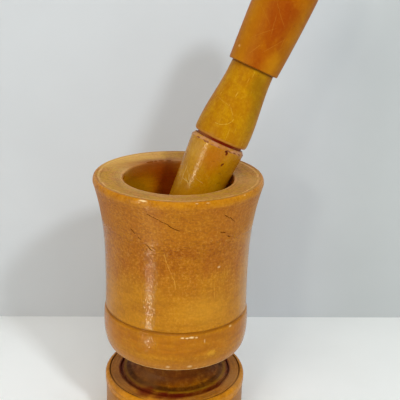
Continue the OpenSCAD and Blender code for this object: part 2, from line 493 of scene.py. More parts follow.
def varnishedWood(name, made):
    look = made["look"]
    material, shader, place = newMaterial(name, look["shine"])
    if look.get("leans"):
        place = put("ShaderNodeMapping", {
            "Vector": place, "Location": Vector(pestle["tip"]) * mm,
            "Rotation": (0, math.radians(pestle["lean"]), 0)}, vector_type="TEXTURE")[0]

    figure = useGroup(woodFigure, {
        "Vector": place, "Pith": Vector(look["pith"]) * mm,
        "Ring": look["ring"] * mm, "Fibre": look["fibre"] * mm})
    patches = useGroup(varnishPatches, {"Vector": place, "Size": look["patch"] * mm, "Run": look["run"]})
    flecks = useGroup(poreFlecks, {
        "Vector": place, "Size": look["pore"] * mm, "Drift": look["drift"] * mm,
        "Slant": (0, math.radians(look["slant"]), 0), "Amount": look["pores"]})
    lines = useGroup(latheLines, {"Vector": place, "Pitch": look["pitch"] * mm, "Depth": look["cut"] * mm})
    rubs = useGroup(scuffs, {
        "Vector": place, "Turn": tuple(math.radians(a) for a in look["rubTurn"]), "Amount": look["rubs"]})
    cloud, stipple = patches["Cloud"], patches["Stipple"]

    def lay(mask, show, tone):
        # one more tone over the colour so far, where the mask is
        nonlocal colour
        colour = blendColour(times(mask, show), colour, paint(*tone))

    def ringZone(low, high, inner, outer, soft, ragged):
        return useGroup(turnedZone, {
            "Vector": place, "Low": low * mm, "High": high * mm, "Inner": inner * mm, "Outer": outer * mm,
            "Soft": soft * mm, "Ragged": ragged * mm})["Mask"]

    colour = blendColour(patches["Patch"], paint(*look["deep"]), paint(*look["mid"]))
    lay(figure["Rings"], look["ringShow"], look["pale"])
    lay(fade(cloud, *marks["cloud"]), look["cloudShow"], look["warm"])
    speck = fade(stipple, *marks["speck"])
    lay(speck, look["speckShow"], look["poreTone"])
    lay(fade(stipple, *marks["glint"]), look["speckShow"], look["rubTone"])
    lay(fade(figure["Fibres"], *marks["dark"]), look["fibreShow"], look["poreTone"])
    lay(fade(lines["Lines"], *marks["dark"]), look["lineShow"], look["poreTone"])
    rough = addShare(cloud, look["roughSpread"], look["rough"] - look["roughSpread"] / 2)
    height = addShare(figure["Fibres"], -look["fibreDeep"] * mm, lines["Height"])
    height = addShare(cloud, look["ripple"] * mm, height)
    height = addShare(patches["Peel"], look["peel"] * mm, height)

    pores = flecks["Mask"]
    if look.get("poreZone"):
        everyRadius = (-1.0, 1000.0)
        where = ringZone(*look["poreZone"], *everyRadius, marks["poreSoft"], marks["poreRagged"])
        pores = times(pores, where)
    lay(pores, look["poreShow"], look["poreTone"])
    height = addShare(pores, -marks["poreDeep"] * mm, height)
    lay(rubs["Mask"], look["rubShow"], look["rubTone"])
    rough = addShare(rubs["Mask"], marks["rubRough"], rough)

    for each in made.get("zones", []):
        mask = ringZone(*each["z"], *each["r"], each["soft"], each["ragged"])
        if "worn" in each:
            mask = times(mask, fade(cloud, *marks["worn"], 1.0 - each["worn"], 1.0))
        lay(mask, each["show"], each["tone"])
        if "second" in each:
            lay(times(fade(cloud, *marks["second"]), mask), marks["secondShow"], each["second"])
        if "strokes" in each:
            plugs = {"Vector": place, "Pitch": each["strokes"] * mm, "Depth": 0.0}
            strokes = fade(useGroup(latheLines, plugs)["Lines"], *marks["strokes"])
            lay(times(strokes, mask), marks["strokeShow"], look["poreTone"])
        if "specks" in each:
            lay(times(speck, mask), each["specks"], look["poreTone"])
        if "lines" in each:
            cutIn = fade(lines["Lines"], *marks["lines"])
            lay(times(cutIn, mask), each["lines"], look["poreTone"])
        rough = addShare(mask, each.get("rough", 0.0), rough)

    spots = list(made.get("spots", []))
    # each glint is a painted highlight, a pale spot in the colour
    for radius, azimuth, z, wide, tall, show in made.get("glints", []):
        spots.append(spot(radius, (azimuth, z), (wide, marks["glintDeep"], tall), show, made["glintTone"],
                          marks["glintSoft"], marks["glintRagged"]))
    for each in spots:
        mask = useGroup(wallSpot, {
            "Vector": place, "Centre": onWall(each["r"], *each["at"]) * mm,
            "Size": Vector(each["size"]) * mm, "Soft": each["soft"], "Ragged": each["ragged"]})["Mask"]
        lay(mask, each["show"], each["tone"])
        rough = addShare(mask, marks["spotRough"], rough)

    for each in made.get("scratches", []):
        ends = [(math.radians(azimuth), z * mm, 0) for azimuth, z in each["path"]]
        for start, end in zip(ends, ends[1:]):
            mask = useGroup(wallScratch, {
                "Vector": place, "From": start, "To": end,
                "Radius": each["r"] * mm, "Width": each["width"] * mm})["Mask"]
            lay(mask, each["show"], each["tone"] or made["scratchTone"])
            rough = addShare(mask, marks["scratchRough"], rough)
            height = addShare(mask, -marks["scratchDeep"] * mm, height)

    finishSurface(shader, colour, calc("MAXIMUM", rough, marks["leastRough"], clamp=True), height)
    return material


# wood with no varnish: cut faces, cracks and the hidden dowel
bare = dict(shine=0.06, pith=(20, 10, 0), ring=3.1, run=0.6, fibreShow=0.5, rough=0.62, roughSpread=0.2)


def rawWood(name, deep, mid, pale, fibre, patch, relief):
    material, shader, place = newMaterial(name, bare["shine"])
    figure = useGroup(woodFigure, {
        "Vector": place, "Pith": Vector(bare["pith"]) * mm, "Ring": bare["ring"] * mm, "Fibre": fibre * mm})
    patches = useGroup(varnishPatches, {"Vector": place, "Size": patch * mm, "Run": bare["run"]})
    colour = blendColour(patches["Patch"], paint(*deep), paint(*mid))
    colour = blendColour(times(figure["Fibres"], bare["fibreShow"]), colour, paint(*pale))
    rough = calc("MULTIPLY_ADD", patches["Cloud"], bare["roughSpread"], bare["rough"], clamp=True)
    finishSurface(shader, colour, rough, times(figure["Fibres"], relief * mm))
    return material


crackDark = rawWood("crackDark", (106, 50, 6), (126, 64, 8), (146, 80, 12), fibre=0.6, patch=3.0, relief=0.05)
holeRed = rawWood("holeRed", (98, 30, 8), (122, 44, 10), (146, 70, 22), fibre=0.6, patch=2.0, relief=0.05)
chipRaw = rawWood("chipRaw", (120, 62, 26), (160, 98, 52), (184, 126, 82), fibre=0.6, patch=2.0, relief=0.08)


def startPiece(name, outline, turns, made, finish):
    # turned to its outline, made a little uneven, then varnished
    piece = turnPiece(name, outline, turns)
    unevenSkin(piece, *made["skin"])
    piece.data.materials.clear()
    piece.data.materials.append(varnishedWood(finish, made))
    return piece


# shared by all pestle pieces
pestle = dict(
    lean=24.5, tip=(-7.802, 0.0, 104.257), turns=160,
    look=dict(leans=True, fibre=0.5, ringShow=0.15, slant=0.0),
)

# collar and grip are dulled by the hand
handled = dict(
    pestle["look"],
    shine=0.07, run=1.0, fibreShow=0.14, speckShow=0.1, lineShow=0.1,
    pore=0.9, drift=10.0, pores=0.55, poreShow=0.45,
    pitch=0.8, cut=0.05, fibreDeep=0.008, ripple=0.05, peel=0.025,
    rough=0.38, roughSpread=0.16,
)


# cup
cup = dict(
    turns=256, seed=11,
    bottom=50.5, height=106.5,
    rim=50.0, rimRound=(1.4, 3.1), rimDish=1.5,
    waist=43.1, waistDepth=65.0, flare=2.75,
    lineDepth=82.5, spread=0.3, lineWidth=1.8, lineIn=0.7,
    band=44.3, bandHeight=15.0, lip=40.5,
    mouth=32.5, mouthRound=1.0, bowlDepth=66.0, bowl=27.0,
    socket=14.1, socketDepth=22.5,
    skin=(0.1, 26.0),
    # long checks in the wood, cut by a row of lumps: a run of angles and heights, then width and depth
    cracks=[
        ([(-128.1, 148.6), (-119.9, 145.5), (-114.5, 142.9)], 0.4, 0.6),
        ([(-114.5, 142.9), (-110, 140.6), (-107, 139.6)], 0.65, 0.7),
        ([(-142.2, 136.9), (-138.8, 134.9)], 0.65, 0.5),
        ([(-136.6, 132.9), (-134.6, 131.6)], 0.5, 0.5),
        ([(-131, 129.4), (-126.2, 126.4)], 0.35, 0.4),
        ([(-76.3, 147.3), (-71.5, 144.6), (-66, 141.4)], 0.45, 0.6),
        ([(-77.5, 136.9), (-73.5, 135.4)], 0.8, 0.5),
        ([(-70.5, 133.2), (-68, 132.2)], 0.9, 0.5),
        ([(38, 141), (46, 144.2), (51.5, 145)], 0.45, 0.6),
        ([(96, 133.5), (102.5, 130.2), (107, 129.4)], 0.45, 0.5),
        ([(153, 145.5), (158.5, 142.4)], 0.4, 0.5),
    ],
    lumpEvery=2.6, lumpLap=0.72, lumpAside=0.25, lumpTurn=9,
    lumpWidth=(0.4, 0.6), lumpDeep=(0.8, 1.1),
    # small nicks in the mouth's edge behind the pestle
    nicks=7, nickFrom=78.0, nickTo=108.0, nickAside=(0.1, 0.9), nickOut=(0.2, 0.7), nickTip=0.4,
    nickSize=((0.8, 2.0), (0.5, 1.0), (0.4, 0.8)),
    look=dict(
        shine=0.13, pith=(46, 30, 0), ring=6.5, fibre=0.55, patch=22.0, run=0.85,
        deep=(172, 98, 4), mid=(186, 116, 6), pale=(196, 130, 12), warm=(160, 82, 4),
        ringShow=0.16, cloudShow=0.42, fibreShow=0.24, speckShow=0.38, lineShow=0.22,
        pore=0.6, drift=15.0, slant=28.0, pores=1.2, poreShow=0.48, poreTone=(104, 46, 2),
        poreZone=(122, 154),
        pitch=0.75, cut=0.05, fibreDeep=0.012, ripple=0.1, peel=0.145,
        rubTurn=(0, 62, 20), rubs=0.6, rubShow=0.3, rubTone=(214, 156, 60),
        rough=0.11, roughSpread=0.11,
    ),
    zones=[
        # lower wall and band: the varnish is yellower there
        zone((48, 104), (38, 52), 14, 14, 0.58, (212, 148, 22), worn=0.35, strokes=4.2),
        # dull where the pores are open, and on the flat of the rim
        zone((131, 158), (38, 52), 4, 10, 0.25, (190, 114, 4), rough=0.32),
        zone((154.4, 158), (33.4, 48.3), 0.5, 1.4, 0.85, (190, 146, 52), rough=0.32, worn=0.2,
             second=(190, 124, 68), specks=0.4, lines=0.3),
        # an uneven pale line, a red-brown one, and a painted highlight in gold where the rim turns over
        zone((154.4, 158), (46, 47.1), 0.3, 1.8, 0.6, (224, 178, 112), worn=0.75),
        zone((154.4, 158), (47.3, 48.5), 0.3, 1.6, 0.5, (152, 84, 34), worn=0.85),
        zone((152.6, 158), (48.5, 51), 0.6, 1.2, 0.45, (212, 142, 12), rough=-0.02, worn=0.8),
        # inside the bowl
        zone((80, 158), (-1, 33), 0.5, 0.8, 0.85, (194, 118, 1), rough=0.15, lines=0.3),
        # lower edge of the band: a painted reflection, pale at the edge, browner above it
        zone((49, 56.4), (38.5, 44.2), 2.4, 2.4, 0.26, (214, 152, 76), rough=0.1, worn=0.4),
        zone((49, 51.6), (38.5, 43.2), 0.5, 1, 0.7, (250, 212, 150), rough=0.1, worn=0.5),
        zone((51.8, 58.5), (40, 45), 2, 3, 0.3, (160, 88, 4), worn=0.3),
        # polish gathered under the cut line, and the cut line itself darker
        zone((61, 74.2), (42, 45), 2.4, 4, 0.74, (176, 98, 0), worn=0.45, strokes=2.8),
        zone((73.9, 76.5), (38, 43.3), 0.4, 0.6, 0.6, (136, 76, 4), rough=0.2),
        # a painted highlight along the mouth's edge
        zone((153.6, 156.4), (32.3, 34.2), 0.4, 1, 0.4, (226, 176, 116), rough=0.1, worn=0.6),
    ],
    # painted highlights where edges catch the light: radius, angle, height, width, height of the glint, how
    # much shows
    glintTone=(250, 218, 154),
    glints=[
        # by the cut line and on the wall
        (43.9, -103, 73.2, 0.9, 0.4, 0.8), (43.9, -99.6, 73, 0.8, 0.4, 0.8),
        (43.9, -96.2, 73.2, 1.3, 0.5, 0.8), (43.9, -92.4, 72.9, 0.7, 0.4, 0.7),
        (43.9, -61.6, 74, 0.8, 0.5, 0.5), (44.2, -86, 70, 0.4, 1.1, 0.32),
        (43.5, -75.5, 114.6, 0.8, 0.6, 0.45),
        # low on the band
        (43.1, -113.6, 53.6, 1, 0.9, 0.4), (43.1, -96.7, 53.8, 1.3, 0.8, 0.4),
        (43.2, 60, 54, 1.6, 0.7, 0.5),
        # round the rim
        (49.4, -130.5, 156.2, 2.2, 0.4, 0.8), (49.4, -96.7, 156.2, 0.7, 0.25, 0.4),
        (49.4, -89.6, 156.1, 0.9, 0.25, 0.35), (49.4, -61, 156.3, 0.7, 0.25, 0.35),
        (49.4, 40, 156.2, 1.2, 0.3, 0.4), (49.4, 128, 156.2, 1, 0.3, 0.4),
    ],
    spots=[
        # a painted highlight in gold on the band
        spot(44.2, (-79.8, 61.2), (2.4, 2, 1.6), 0.5, (232, 172, 40), ragged=2.2),
        # painted sheen down the right side; paler low in front
        spot(44, (-31, 112), (9, 11, 42), 0.5, (214, 166, 108), soft=0.8, ragged=0.8),
        spot(43.3, (-86, 88), (14, 8, 8), 0.3, (222, 156, 40), soft=0.8, ragged=1.2),
        # painted light on the rim's far side, lifting the pestle's shadow there
        spot(42, (118, 156), (24, 16, 6), 0.5, (226, 180, 100), soft=0.6, ragged=0.8),
        spot(43.6, (-78, 117), (17, 14, 5), 0.25, (150, 66, 2)),
        # inside: painted shadow in dark red behind the pestle, a painted olive reflection beside it
        spot(32.2, (98, 152), (11, 6, 7), 0.75, (118, 42, 0), ragged=0.9),
        spot(30.6, (80, 137), (11, 9, 17), 0.85, (116, 24, 1), soft=0.6, ragged=0.7),
        spot(31.4, (134, 143), (14, 14, 11), 0.6, (150, 106, 4), ragged=0.9),
        spot(32, (118, 152), (15, 8, 5), 0.65, (148, 66, 0), ragged=0.9),
        spot(44, (-92, 125), (22, 14, 3.5), 0.22, (148, 70, 2), ragged=1.2),
    ],
    scratchTone=(218, 156, 48),
    scratches=[
        scratch([(-117.4, 125.5), (-115.6, 119), (-112, 113), (-108.5, 103.5)], 43.6, 0.6, 0.55),
        scratch([(-79, 106), (-77.9, 95)], 43.2, 0.6, 0.45),
    ],
)


def cupWall(height):
    waistAt = cup["height"] - cup["waistDepth"]
    wallTop = cup["height"] - cup["rimRound"][1]
    lineAt = cup["height"] - cup["lineDepth"]
    if height > waistAt:
        share = (height - waistAt) / (wallTop - waistAt)
        return cup["waist"] + (cup["rim"] - cup["waist"]) * share ** cup["flare"]
    return cup["waist"] + cup["spread"] * ((waistAt - height) / (waistAt - lineAt)) ** 2


def cupOutline():
    top = cup["height"]
    wallTop = top - cup["rimRound"][1]
    lineAt = top - cup["lineDepth"]
    lineRadius = cup["waist"] + cup["spread"]
    lineTop = lineAt + cup["lineWidth"]
    mouth = (cup["mouth"] + cup["mouthRound"], top - cup["rimDish"] - cup["mouthRound"])
    bowlAt = top - cup["bowlDepth"] + cup["bowl"]
    # the bowl's straight wall touches the mouth's rounding and the round floor
    rise = mouth[1] - bowlAt
    lean = math.acos((cup["mouthRound"] + cup["bowl"]) / math.hypot(mouth[0], rise))
    draft = math.degrees(lean - math.atan2(rise, mouth[0]))
    across = cup["rim"] - cup["rimRound"][0] - mouth[0]
    fall = cup["rimDish"] + cup["mouthRound"]
    slope = math.degrees(math.atan2(fall, across) - math.asin(cup["mouthRound"] / math.hypot(across, fall)))

    points = straight((0, cup["socketDepth"]), (cup["socket"], cup["socketDepth"]), 4, first=0)
    points += straight(points[-1], (cup["socket"], 0), 6)
    points += straight(points[-1], (cup["lip"], 0), 8)
    points += ellipseArc(
        (cup["lip"], cup["bandHeight"]), (cup["band"] - cup["lip"], cup["bandHeight"]), -90, 0, 20)
    points += ellipseArc(
        (lineRadius, cup["bandHeight"]), (cup["band"] - lineRadius, lineAt - cup["bandHeight"]), 0, 90, 14)
    points += groove((lineRadius, lineAt), (cupWall(lineTop), lineTop), cup["lineIn"])
    points += [(cupWall(z), z) for _, z in straight((0, lineTop), (0, wallTop), 56, first=0)]
    points += ellipseArc((cup["rim"] - cup["rimRound"][0], wallTop), cup["rimRound"], 0, 90, 12)
    edge = ellipseArc(mouth, (cup["mouthRound"],) * 2, 90 + slope, 180 + draft, 8, first=0)
    points += straight(points[-1], edge[0], 14)[:-1] + edge
    floor = ellipseArc((0, bowlAt), (cup["bowl"],) * 2, -draft, -90, 26, first=0)
    points += straight(edge[-1], floor[0], 20)[:-1] + floor[:-1] + [(0, floor[-1][1])]
    return [(r, z + cup["bottom"]) for r, z in points]


def crackCuts(path, width, deep, draw):
    cuts = []
    for (a0, z0), (a1, z1) in zip(path, path[1:]):
        along = math.radians(a1 - a0) * cupWall((z0 + z1) / 2 - cup["bottom"])
        reach = math.hypot(along, z1 - z0)
        slope = math.degrees(math.atan2(z1 - z0, along))
        parts = max(2, round(reach / cup["lumpEvery"]))
        for i in range(parts):
            t = (i + 0.5) / parts
            az = a0 + (a1 - a0) * t
            z = z0 + (z1 - z0) * t + draw.uniform(-cup["lumpAside"], cup["lumpAside"])
            bend = slope + draw.uniform(-cup["lumpTurn"], cup["lumpTurn"])
            size = (reach / parts * cup["lumpLap"], width * draw.uniform(*cup["lumpWidth"]),
                    deep * draw.uniform(*cup["lumpDeep"]))
            cuts.append((onWall(cupWall(z - cup["bottom"]), az, z), size, facing(az, bend)))
    return cuts


def nickCut(i, draw):
    share = (i + draw.uniform(*cup["nickAside"])) / cup["nicks"]
    az = cup["nickFrom"] + (cup["nickTo"] - cup["nickFrom"]) * share
    rimAt = cup["bottom"] + cup["height"] - cup["rimDish"]
    place = onWall(cup["mouth"] + draw.uniform(*cup["nickOut"]), az, rimAt)
    size = tuple(draw.uniform(*span) for span in cup["nickSize"])
    return place, size, Euler((draw.uniform(-cup["nickTip"], cup["nickTip"]), 0, math.radians(az + 90)))


def makeCup():
    piece = startPiece("turnedCup", cupOutline(), cup["turns"], cup, "cupVarnish")
    draw = random.Random(cup["seed"])
    cutAway(piece, [cut for crack in cup["cracks"] for cut in crackCuts(*crack, draw)], crackDark)
    cutAway(piece, [nickCut(i, draw) for i in range(cup["nicks"])], crackDark)
    smoothPiece(piece)
    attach(piece, "mortar")
    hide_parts("mortar_cup")
    print("cup turned:", len(piece.data.polygons), "faces")


makeCup()


# foot
foot = dict(
    turns=224,
    radius=43.3, height=28.5, edge=1.5,
    beadOut=0.5, beadHeight=5.6, beadRound=2.4,
    scoreWidth=1.0, scoreDepth=0.7,
    ring=34.5, ringWidth=1.4, ringDepth=1.5, lipRise=0.7,
    cove=6.6, neck=24.8, neckStep=0.8, neckHeight=22.0,
    tenon=14.0, tenonLength=22.0, tenonChamfer=1.0,
    skin=(0.1, 24.0),
    look=dict(
        shine=0.11, pith=(-40, 34, 0), ring=5.6, fibre=0.55, patch=20.0, run=0.9,
        deep=(158, 88, 4), mid=(178, 110, 8), pale=(190, 126, 16), warm=(146, 74, 4),
        ringShow=0.18, cloudShow=0.42, fibreShow=0.24, speckShow=0.3, lineShow=0.14,
        pore=1.2, drift=12.0, slant=10.0, pores=0.8, poreShow=0.6, poreTone=(84, 36, 3),
        pitch=0.75, cut=0.12, fibreDeep=0.012, ripple=0.07, peel=0.05,
        rubTurn=(0, 80, 40), rubs=0.55, rubShow=0.3, rubTone=(200, 150, 74),
        rough=0.26, roughSpread=0.16,
    ),
    zones=[
        # plain side, then painted shade on the neck and in the cove under the cup, and a painted olive
        # highlight on the cove's lip
        zone((-1, 22), (40, 50), 2, 5, 0.45, (178, 122, 52), rough=0.1),
        zone((30.4, 52), (20, 33), 1.2, 2, 0.75, (92, 40, 0), rough=0.3, worn=0.35, lines=0.4),
        zone((28.9, 31), (27.5, 32.6), 0.8, 2, 0.92, (72, 36, 2), rough=0.25, worn=0.3, lines=0.3),
        zone((28.7, 30.4), (30.6, 32.4), 0.5, 1.6, 0.6, (168, 118, 18), rough=0.1, worn=0.7),
        # bead, flat ring, cut ring and scored line
        zone((21.5, 28.6), (40.6, 46), 0.5, 1.6, 0.7, (222, 144, 20), worn=0.5, strokes=1.6),
        zone((28, 28.8), (34, 41.4), 0.3, 2, 0.65, (190, 126, 52), rough=0.15, worn=0.6,
             strokes=2.0, lines=0.4),
        zone((26, 29.4), (32.3, 35.4), 0.4, 1.4, 0.9, (104, 24, 8), rough=0.2, worn=0.3),
        zone((27.6, 28.2), (38, 41.6), 0.15, 0.3, 0.8, (70, 30, 4), rough=0.2),
    ],
    spots=[
        # painted light and shade on the flat ring: gold at the front left, darker at the left, paler at the
        # right; a tan place and a dull one in the cove
        spot(38.9, (-130, 28.5), (6, 5, 2), 0.65, (226, 150, 34), soft=0.6),
        spot(27, (-148, 32), (7, 7, 5), 0.5, (142, 94, 48)),
        spot(25, (-95, 36), (10, 6, 4), 0.45, (128, 60, 6)),
        spot(37.6, (-168, 28.5), (7, 9, 2), 0.4, (126, 84, 50)),
        spot(38.6, (-40, 28.5), (8, 9, 2), 0.45, (176, 126, 70)),
        # the cut ring's dark red, spread wider at the front left
        spot(34.4, (-138, 28.4), (5, 5, 2.2), 0.8, (104, 20, 8), soft=0.5),
        spot(34.4, (-122, 28.4), (5, 3, 2), 0.8, (106, 22, 8), soft=0.5),
        spot(34.3, (-106, 28.4), (6, 2.4, 1.8), 0.75, (106, 22, 8), soft=0.5),
    ],
)


def footOutline():
    radius, edge, top, beadRound = foot["radius"], foot["edge"], foot["height"], foot["beadRound"]
    bead = radius + foot["beadOut"]
    beadAt = top - foot["beadHeight"]
    scoreAt = bead - beadRound - foot["scoreWidth"]
    ringFloor = top - foot["ringDepth"]
    coveLip = foot["ring"] - foot["ringWidth"]
    coveTop = top + foot["lipRise"] + foot["cove"]
    cupAt = top + foot["neckHeight"]
    tenonTop = cupAt + foot["tenonLength"]
    low, high = (radius, beadAt - foot["scoreWidth"]), (bead, beadAt)

    points = straight((0, 0), (radius - edge, 0), 10, first=0)[:-1]
    points += ellipseArc((radius - edge, edge), (edge,) * 2, -90, 0, 8, first=0)
    points += straight((radius, edge), low, 14)
    points += groove(low, high, foot["scoreDepth"]) + [high]
    points += straight(high, (bead, top - beadRound), 4)[:-1]
    points += ellipseArc((bead - beadRound, top - beadRound), (beadRound,) * 2, 0, 90, 12, first=0)
    points += groove(points[-1], (scoreAt, top), foot["scoreDepth"])
    points += straight((scoreAt, top), (foot["ring"], top), 6, first=0)
    points += straight(points[-1], (foot["ring"], ringFloor), 3)
    points += straight(points[-1], (coveLip, ringFloor), 3)
    points += straight(points[-1], (coveLip, top + foot["lipRise"]), 3)[:-1]
    coveRadii = (coveLip - foot["neck"] + foot["neckStep"], foot["cove"])
    points += ellipseArc((coveLip, coveTop), coveRadii, 270, 180, 24, first=0)
    points += straight((foot["neck"], coveTop), (foot["neck"], cupAt), 8, first=0)
    points += straight(points[-1], (foot["tenon"], cupAt), 4)
    points += straight(points[-1], (foot["tenon"], tenonTop - foot["tenonChamfer"]), 5)
    points += straight((foot["tenon"] - foot["tenonChamfer"], tenonTop), (0, tenonTop), 4, first=0)
    return points


def makeFoot():
    piece = startPiece("turnedFoot", footOutline(), foot["turns"], foot, "footVarnish")
    smoothPiece(piece)
    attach(piece, "mortar")
    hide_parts("mortar_foot")
    print("foot turned:", len(piece.data.polygons), "faces")


makeFoot()


# pestle head
head = dict(
    tip=10.9, radius=16.4, length=89.0, chamfer=(1.4, 1.9),
    bore=8.1, hole=32.0,
    skin=(0.08, 18.0), seed=23,
    # angle, height, width and height of each small hole
    holes=[
        (-92.5, 75.6, 1.0, 0.7), (-90.0, 74.6, 0.7, 1.1), (-88.2, 67.5, 0.6, 1.2), (-86.2, 68.4, 0.5, 0.6),
    ],
    holeIn=0.2, holeDeep=0.9,
    # chips all along the chamfer's lower edge
    chips=24, chipAside=0.4, chipOut=(0.2, 0.7), chipUp=(-0.4, 0.9), chipTurn=15,
    chipSize=((0.9, 2.6), (0.4, 1.0), (0.7, 1.2)),
    look=dict(
        pestle["look"],
        shine=0.16, pith=(18, 12, 0), ring=5.0, patch=14.0, run=0.9,
        deep=(180, 116, 0), mid=(196, 136, 0), pale=(204, 150, 10), warm=(166, 98, 0),
        cloudShow=0.42, fibreShow=0.2, speckShow=0.14, lineShow=0.12,
        pore=1.0, drift=12.0, pores=0.7, poreShow=0.55, poreTone=(104, 48, 2),
        pitch=0.7, cut=0.06, fibreDeep=0.01, ripple=0.08, peel=0.07,
        rubTurn=(0, 70, 10), rubs=0.7, rubShow=0.4, rubTone=(210, 166, 76),
        rough=0.19, roughSpread=0.12,
    ),
    zones=[
        # the worn chamfer, then the part that stands in the bowl
        zone((76, 78.6), (12, 17), 0.3, 1.4, 0.8, (176, 112, 66), rough=0.3, worn=0.6, second=(192, 136, 98)),
        zone((-20, 50), (-1, 20), 6, 10, 0.4, (150, 98, 10), rough=0.15),
    ],
    spots=[
        spot(15.8, (-112, 68), (7, 8, 7), 0.6, (188, 106, 0), ragged=1.4),
        # painted sheen: pale on the left side
        spot(15.4, (-168, 66), (7, 8, 14), 0.2, (206, 160, 66), soft=0.8, ragged=1.2),
        spot(15, (-70, 62), (6, 7, 12), 0.4, (176, 128, 2), soft=0.8),
        # a small painted sheen on the left side
        spot(15.6, (-150, 70), (4, 4, 5), 0.25, (216, 172, 92), soft=0.8, ragged=1.8),
    ],
    scratchTone=(220, 180, 100),
    scratches=[
        scratch([(-158, 56.5), (-140, 52.5), (-126, 52)], 14.8, 0.5, 0.5, tone=(214, 174, 90)),
        scratch([(-152, 52.5), (-138, 49)], 14.7, 0.75, 0.65, tone=(214, 174, 90)),
        scratch([(-146, 55.5), (-132, 47.5)], 14.7, 0.75, 0.65),
        scratch([(-160, 51), (-142, 50.5)], 14.7, 0.7, 0.6),
        scratch([(-163, 60), (-160, 47)], 14.7, 0.7, 0.5),
        scratch([(-128, 55), (-108, 53)], 14.7, 0.45, 0.35),
    ],
)


def headOutline():
    top = head["length"] - head["tip"]
    edgeAt = top - head["chamfer"][1]
    lean = math.acos(head["tip"] / math.hypot(head["radius"], edgeAt))
    taper = math.degrees(lean - math.atan2(edgeAt, head["radius"]))
    dome = ellipseArc((0, 0), (head["tip"],) * 2, -90, -taper, 20, first=0)
    points = [(0, dome[0][1])] + dome[1:]
    points += straight(points[-1], (head["radius"], edgeAt), 48)
    points += straight(points[-1], (head["radius"] - head["chamfer"][0], top), 6)
    points += straight(points[-1], (head["bore"], top), 5)
    points += straight(points[-1], (head["bore"], top - head["hole"]), 8)
    points += straight(points[-1], (0, top - head["hole"]), 3)
    return points


def chipCut(i, draw):
    az = 360 * (i + draw.uniform(-head["chipAside"], head["chipAside"])) / head["chips"]
    edgeAt = head["length"] - head["tip"] - head["chamfer"][1]
    out, up = draw.uniform(*head["chipOut"]), draw.uniform(*head["chipUp"])
    place = onWall(head["radius"] + out, az, edgeAt + up)
    size = tuple(draw.uniform(*span) for span in head["chipSize"])
    return place, size, facing(az, draw.uniform(-head["chipTurn"], head["chipTurn"]))


def makeHead():
    piece = startPiece("crushingHead", headOutline(), pestle["turns"], head, "headVarnish")
    draw = random.Random(head["seed"])
    cuts = []
    for az, z, wide, tall in head["holes"]:
        place = onWall(head["radius"] - head["holeIn"], az, z)
        cuts.append((place, (wide, tall, head["holeDeep"]), facing(az)))
    cutAway(piece, cuts, holeRed)
    cutAway(piece, [chipCut(i, draw) for i in range(head["chips"])], chipRaw)
    leanPiece(piece)
    smoothPiece(piece)
    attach(piece, "pestle")
    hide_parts("pestle_head")
    print("head turned:", len(piece.data.polygons), "faces")


makeHead()


# pestle collar
collar = dict(
    bottom=79.7, headTop=78.1, gapIn=2.6,
    radius=16.4, topRadius=12.9, length=45.0, edge=(1.0, 2.6), bore=8.1,
    skin=(0.08, 16.0),
    look=dict(
        handled,
        pith=(16, -14, 0), ring=5.2, patch=12.0, cloudShow=0.48,
        deep=(174, 110, 0), mid=(190, 134, 0), pale=(204, 150, 10), warm=(166, 96, 0),
        poreTone=(118, 60, 2),
        rubTurn=(0, 55, 30), rubs=0.75, rubShow=0.45, rubTone=(220, 174, 60),
    ),
    zones=[
        # red in the open gap, the worn lower edge, painted shade under the grip's overhang
        zone((77.5, 80.4), (7, 15.6), 0.25, 0.4, 0.9, (138, 8, 0), rough=0.15),
        zone((79.9, 81), (15.2, 17), 0.3, 0.6, 0.5, (206, 136, 66), rough=0.1, worn=0.5),
        zone((123.8, 125.5), (7, 18), 0.4, 0.6, 0.7, (96, 50, 3), rough=0.1),
    ],
    spots=[
        spot(13.5, (-86, 116), (4, 5, 7), 0.5, (128, 92, 2), ragged=0.8),
        spot(14, (-62, 104), (4, 5, 16), 0.42, (128, 96, 2), soft=0.8, ragged=0.8),
        # the open gap's red thins out towards both sides
        spot(13.8, (-164, 78.6), (6, 6, 1.3), 0.7, (176, 112, 58), soft=0.5, ragged=0.9),
        spot(13.8, (-58, 78.6), (4, 5, 1.3), 0.6, (168, 100, 48), soft=0.5, ragged=0.9),
    ],
    scratchTone=(224, 180, 70),
    scratches=[
        scratch([(-140, 88), (-130.5, 88.2), (-121, 89.1), (-113.6, 90.5), (-109, 92.2), (-107.5, 94)],
                15.4, 0.5, 0.4, tone=(226, 184, 70)),
        scratch([(-165, 101.6), (-151, 101.4), (-138, 100.6), (-128, 99.8)], 14.5, 0.45, 0.25),
        scratch([(-124, 100), (-112, 95.5)], 14.8, 0.45, 0.25),
    ],
)


def collarOutline():
    neck = collar["radius"] - collar["gapIn"]
    edgeIn = collar["radius"] - collar["edge"][0]
    sideAt = collar["bottom"] + collar["edge"][1]
    top = collar["bottom"] + collar["length"]
    points = straight((collar["bore"], collar["headTop"]), (neck, collar["headTop"]), 4, first=0)
    points += straight(points[-1], (neck, collar["bottom"]), 4)
    points += straight(points[-1], (edgeIn, collar["bottom"]), 3)[:-1]
    points += ellipseArc((edgeIn, sideAt), collar["edge"], -90, 0, 10, first=0)
    # the side swells out like a bell: hollow under the grip, full near the lower edge
    for t, z in straight((0, sideAt), (1, top), 40):
        swell = 0.5 + 0.5 * math.cos(math.pi * t)
        points.append((collar["topRadius"] + (collar["radius"] - collar["topRadius"]) * swell, z))
    points += straight(points[-1], (collar["bore"], top), 4)
    points += straight(points[-1], (collar["bore"], collar["headTop"]), 8)
    return points


def makeCollar():
    piece = startPiece("waistedCollar", collarOutline(), pestle["turns"], collar, "collarVarnish")
    leanPiece(piece)
    smoothPiece(piece)
    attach(piece, "pestle")
    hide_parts("pestle_collar")
    print("collar turned:", len(piece.data.polygons), "faces")


makeCollar()


